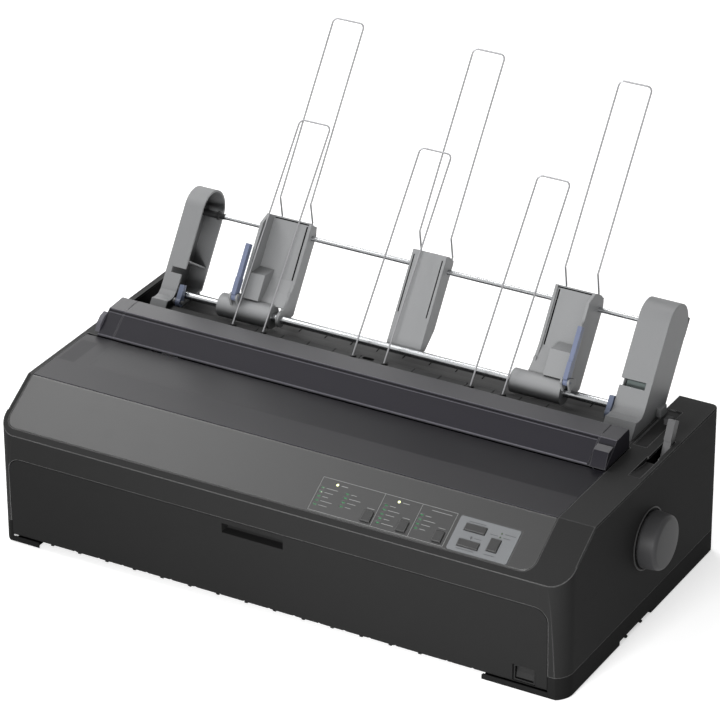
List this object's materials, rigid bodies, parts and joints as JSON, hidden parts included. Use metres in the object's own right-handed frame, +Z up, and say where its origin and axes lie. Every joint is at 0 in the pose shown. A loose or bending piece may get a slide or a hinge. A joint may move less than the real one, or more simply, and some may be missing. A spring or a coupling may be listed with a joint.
{
  "type": "dot matrix printer",
  "caption": "Wide-carriage impact printer with hinged covers, sloped control face, platen knob and a cut-sheet feeder with sliding hoppers and wire hoops on its rear deck.",
  "frame": {"origin": "bottom centre of the whole object's box, on the table under the rubber feet", "axes": "+X to the viewer's right along the case, +Y from the front face to the rear, +Z up"},
  "size_m": [0.6298, 0.4302, 0.4154],
  "materials": {
    "case": "fine texture",
    "face": "fine texture",
    "smoked": "satin",
    "plate": "brushed",
    "keys": "satin",
    "knob": "satin",
    "feeder": "satin",
    "blue": "satin",
    "chrome": "polished",
    "wire": "plated",
    "frame_steel": "plated",
    "rubber": "matte",
    "black": "satin",
    "gear": "natural",
    "brass": "machined",
    "motor": "satin",
    "board": "lacquered",
    "ribbon": "woven",
    "head": "cast",
    "rear": "fine texture"
  },
  "bodies": {
    "case": {"lower_case": "case", "upper_case": "case", "control_face": "face", "label_plate": "plate", "switch_bezel": "black", "left_frame": "frame_steel", "right_frame": "frame_steel", "base_pan": "frame_steel", "carriage_shaft": "chrome", "ribbon_cartridge": "black", "ribbon": "ribbon", "carriage_motor": "motor", "drive_belt": "rubber", "feed_motor": "motor", "main_board": "board", "power_supply": "frame_steel", "power_inlet": "black", "panel_board": "board", "paper_guide": "black", "rear_deck": "rear", "rubber_feet": "rubber", "left_arm": "feeder", "right_arm": "feeder", "guide_shaft": "chrome", "shaft_fittings": "black", "short_hoops": "wire"},
    "printer_cover": {"printer_cover": "smoked"},
    "sheet_guide_cover": {"sheet_guide_cover": "smoked"},
    "front_cover": {"front_cover": "case"},
    "power_rocker": {"power_rocker": "black"},
    "left_key": {"left_key": "keys"},
    "middle_key": {"middle_key": "keys"},
    "right_key": {"right_key": "keys"},
    "feed_up_key": {"feed_up_key": "keys"},
    "feed_down_key": {"feed_down_key": "keys"},
    "pause_key": {"pause_key": "keys"},
    "release_lever": {"release_lever": "knob"},
    "platen_unit": {"platen": "rubber", "platen_shaft": "chrome", "platen_gear": "gear", "knob": "knob"},
    "idler_gear": {"idler_gear": "gear"},
    "motor_pinion": {"motor_pinion": "brass"},
    "carriage": {"carriage": "black", "print_head": "head"},
    "motor_pulley": {"motor_pulley": "brass"},
    "idler_pulley": {"idler_pulley": "brass"},
    "drive_shaft": {"drive_shaft": "chrome"},
    "left_hopper": {"left_hopper": "feeder", "left_tall_hoop": "wire"},
    "right_hopper": {"right_hopper": "feeder", "right_tall_hoop": "wire"},
    "centre_support": {"centre_support": "feeder", "centre_tall_hoop": "wire"},
    "left_roller": {"left_roller": "rubber"},
    "right_roller": {"right_roller": "rubber"},
    "left_lock_lever": {"left_lock_lever": "blue"},
    "right_lock_lever": {"right_lock_lever": "blue"},
    "left_set_lever": {"left_set_lever": "blue"},
    "right_set_lever": {"right_set_lever": "blue"}
  },
  "joints": [
    {"name": "printer_cover_hinge", "type": "hinge", "parent": "case", "child": "printer_cover", "pos_m": [-0.00985, -0.06447, 0.1524], "axis": [-1, 0, 0], "range_deg": [0, 75]},
    {"name": "sheet_guide_hinge", "type": "hinge", "parent": "case", "child": "sheet_guide_cover", "pos_m": [-0.00985, -0.01607, 0.167], "axis": [-1, 0, 0], "range_deg": [0, 60]},
    {"name": "front_cover_hinge", "type": "hinge", "parent": "case", "child": "front_cover", "pos_m": [-0.00985, -0.20657, 0.0126], "axis": [1, 0, 0], "range_deg": [0, 70]},
    {"name": "power_rocker_tilt", "type": "hinge", "parent": "case", "child": "power_rocker", "pos_m": [0.25365, -0.20657, 0.0185], "axis": [1, 0, 0], "range_deg": [0, 18]},
    {"name": "left_key_press", "type": "slide", "parent": "case", "child": "left_key", "axis": [0, 0.5195, -0.8545], "range_m": [0, 0.001], "stiffness_N_per_m": 250, "springref_m": -0.0004},
    {"name": "middle_key_press", "type": "slide", "parent": "case", "child": "middle_key", "axis": [0, 0.5195, -0.8545], "range_m": [0, 0.001], "stiffness_N_per_m": 250, "springref_m": -0.0004},
    {"name": "right_key_press", "type": "slide", "parent": "case", "child": "right_key", "axis": [0, 0.5195, -0.8545], "range_m": [0, 0.001], "stiffness_N_per_m": 250, "springref_m": -0.0004},
    {"name": "feed_up_key_press", "type": "slide", "parent": "case", "child": "feed_up_key", "axis": [0, 0.5195, -0.8545], "range_m": [0, 0.001], "stiffness_N_per_m": 250, "springref_m": -0.0004},
    {"name": "feed_down_key_press", "type": "slide", "parent": "case", "child": "feed_down_key", "axis": [0, 0.5195, -0.8545], "range_m": [0, 0.001], "stiffness_N_per_m": 250, "springref_m": -0.0004},
    {"name": "pause_key_press", "type": "slide", "parent": "case", "child": "pause_key", "axis": [0, 0.5195, -0.8545], "range_m": [0, 0.001], "stiffness_N_per_m": 250, "springref_m": -0.0004},
    {"name": "release_lever_tilt", "type": "hinge", "parent": "case", "child": "release_lever", "pos_m": [0.28415, -0.00207, 0.122], "axis": [1, 0, 0], "range_deg": [0, 45]},
    {"name": "knob_spin", "type": "hinge", "parent": "case", "child": "platen_unit", "pos_m": [-0.00985, -0.04507, 0.088], "axis": [1, 0, 0], "continuous": true},
    {"name": "idler_spin", "type": "hinge", "parent": "case", "child": "idler_gear", "pos_m": [0.23315, -0.02557, 0.05423], "axis": [1, 0, 0], "continuous": true},
    {"name": "feed_motor_spin", "type": "hinge", "parent": "case", "child": "motor_pinion", "pos_m": [0.23315, -0.02193, 0.03354], "axis": [1, 0, 0], "continuous": true},
    {"name": "carriage_travel", "type": "slide", "parent": "case", "child": "carriage", "axis": [1, 0, 0], "range_m": [-0.15, 0.15]},
    {"name": "motor_pulley_spin", "type": "hinge", "parent": "case", "child": "motor_pulley", "pos_m": [-0.21285, -0.12707, 0.052], "axis": [0, 0, 1], "continuous": true},
    {"name": "idler_pulley_spin", "type": "hinge", "parent": "case", "child": "idler_pulley", "pos_m": [0.19315, -0.12707, 0.052], "axis": [0, 0, 1], "continuous": true},
    {"name": "drive_shaft_spin", "type": "hinge", "parent": "case", "child": "drive_shaft", "pos_m": [-0.00985, 0.03698, 0.16851], "axis": [1, 0, 0], "continuous": true},
    {"name": "left_hopper_slide", "type": "slide", "parent": "case", "child": "left_hopper", "axis": [1, 0, 0], "range_m": [-0.038, 0]},
    {"name": "right_hopper_slide", "type": "slide", "parent": "case", "child": "right_hopper", "axis": [1, 0, 0], "range_m": [-0.05, 0.035]},
    {"name": "centre_support_slide", "type": "slide", "parent": "case", "child": "centre_support", "axis": [1, 0, 0], "range_m": [-0.05, 0.05]},
    {"name": "left_roller_spin", "type": "hinge", "parent": "left_hopper", "child": "left_roller", "pos_m": [-0.18385, 0.03698, 0.16851], "axis": [1, 0, 0], "continuous": true},
    {"name": "right_roller_spin", "type": "hinge", "parent": "right_hopper", "child": "right_roller", "pos_m": [0.13815, 0.03698, 0.16851], "axis": [1, 0, 0], "continuous": true},
    {"name": "left_lock_tilt", "type": "hinge", "parent": "left_hopper", "child": "left_lock_lever", "pos_m": [-0.19285, 0.02787, 0.18581], "axis": [1, 0, 0], "range_deg": [0, 60]},
    {"name": "right_lock_tilt", "type": "hinge", "parent": "right_hopper", "child": "right_lock_lever", "pos_m": [0.17115, 0.02787, 0.18581], "axis": [1, 0, 0], "range_deg": [0, 60]},
    {"name": "left_set_tilt", "type": "hinge", "parent": "case", "child": "left_set_lever", "pos_m": [-0.25585, 0.02592, 0.16531], "axis": [1, 0, 0], "range_deg": [0, 30]},
    {"name": "right_set_tilt", "type": "hinge", "parent": "case", "child": "right_set_lever", "pos_m": [0.21715, 0.02592, 0.16531], "axis": [1, 0, 0], "range_deg": [0, 30]}
  ],
  "couplings": [
    {"joint": "idler_spin", "follows": "knob_spin", "ratio": -1.6},
    {"joint": "feed_motor_spin", "follows": "knob_spin", "ratio": 4},
    {"joint": "motor_pulley_spin", "follows": "carriage_travel", "rad_per_m": 115.61},
    {"joint": "idler_pulley_spin", "follows": "carriage_travel", "rad_per_m": 115.61},
    {"joint": "left_roller_spin", "follows": "drive_shaft_spin", "ratio": 1},
    {"joint": "right_roller_spin", "follows": "drive_shaft_spin", "ratio": 1},
    {"joint": "right_set_tilt", "follows": "left_set_tilt", "ratio": 1}
  ]
}
